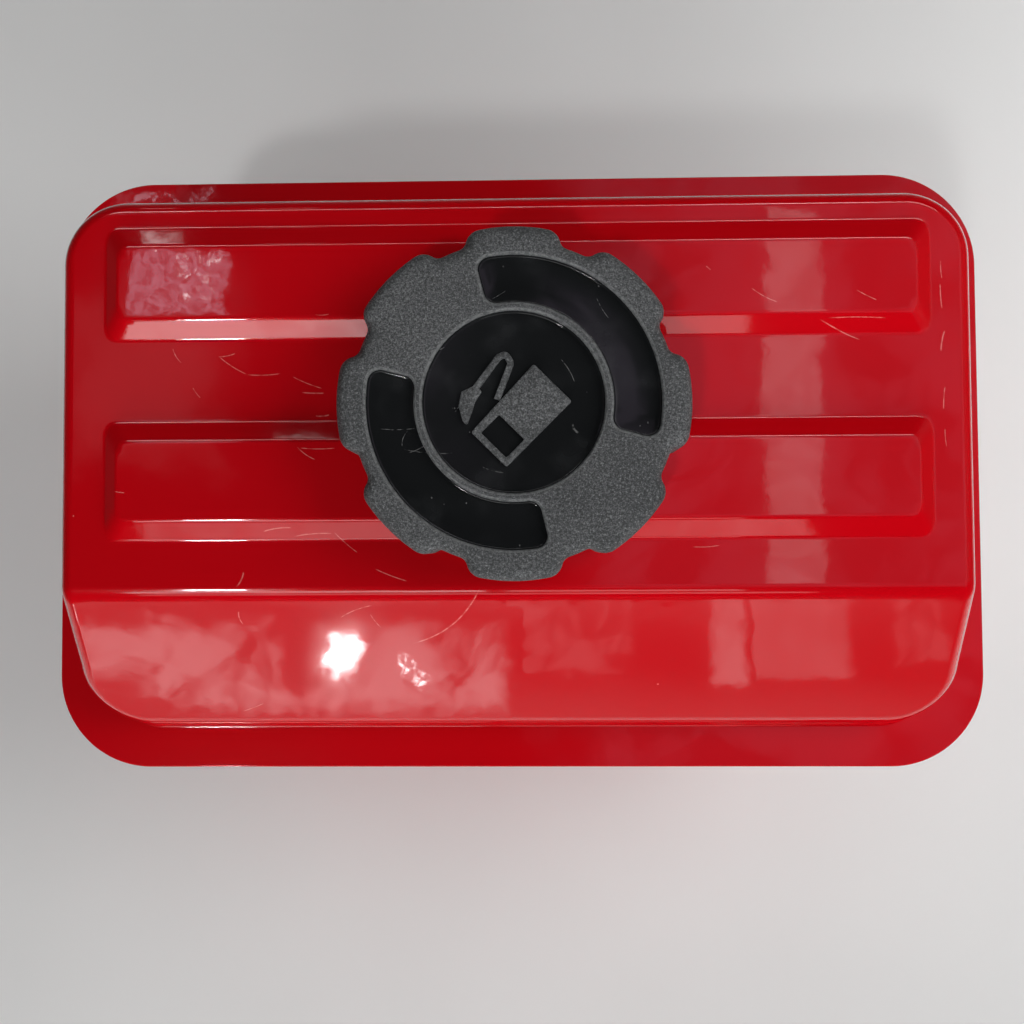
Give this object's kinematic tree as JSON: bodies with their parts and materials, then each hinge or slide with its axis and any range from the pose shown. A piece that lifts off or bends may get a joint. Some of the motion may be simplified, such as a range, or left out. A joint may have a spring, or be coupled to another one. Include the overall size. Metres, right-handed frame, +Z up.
{
  "type": "fuel tank",
  "caption": "Pressed-steel fuel tank for a small engine, with a seam flange, a bayonet filler cap over a lift-out strainer, a hose outlet, mounting studs and a rear foot.",
  "frame": {"origin": "centre of the seam flange's outline, at the level of the stud tips and the rear foot that the tank stands on", "axes": "+X along the tank's length towards the outlet, +Y towards the back, away from the sloping front panel, +Z up through the filler neck"},
  "size_m": [0.235, 0.151, 0.1488],
  "materials": {
    "red_paint": "glossy baked red paint",
    "cap_plastic": "fine-grained charcoal with gloss black recesses",
    "strainer_plastic": "natural white moulding",
    "strainer_gauze": "fine woven gauze",
    "seal_rubber": "matt black",
    "zinc_steel": "bright zinc plate",
    "spring_steel": "oiled spring steel",
    "bare_steel": "turned steel",
    "outlet_brass": "turned brass",
    "fibre": "red-brown vulcanised fibre",
    "vent_foam": "open-cell foam"
  },
  "bodies": {
    "tank": {"upper_shell": "red_paint", "lower_shell": "red_paint", "filler_neck": "red_paint", "strainer_frame": "strainer_plastic", "strainer_mesh": "strainer_gauze", "outlet_bung": "bare_steel", "outlet_washer": "fibre", "outlet_joint": "outlet_brass", "outlet_screen": "strainer_gauze", "outlet_screen_cap": "strainer_plastic", "front_bracket_left": "red_paint", "front_bracket_right": "red_paint", "mount_studs": "zinc_steel", "rear_bracket": "red_paint"},
    "cap_seal": {"cap_gasket": "seal_rubber", "cap_pressure_disc": "zinc_steel", "cap_spring": "spring_steel"},
    "cap": {"cap_cover": "cap_plastic", "cap_bayonet_plate": "zinc_steel", "cap_vent_foam": "vent_foam", "cap_vent_valve": "seal_rubber", "cap_vent_baffle": "zinc_steel", "cap_screws": "zinc_steel"}
  },
  "joints": [
    {"name": "cap_lift", "type": "slide", "parent": "tank", "child": "cap_seal", "axis": [0, 0, 1], "range_m": [0, 0.06]},
    {"name": "cap_turn", "type": "hinge", "parent": "cap_seal", "child": "cap", "pos_m": [0.00055, 0.0091, 0.1338], "axis": [0, 0, 1], "range_deg": [-75, 0]}
  ]
}
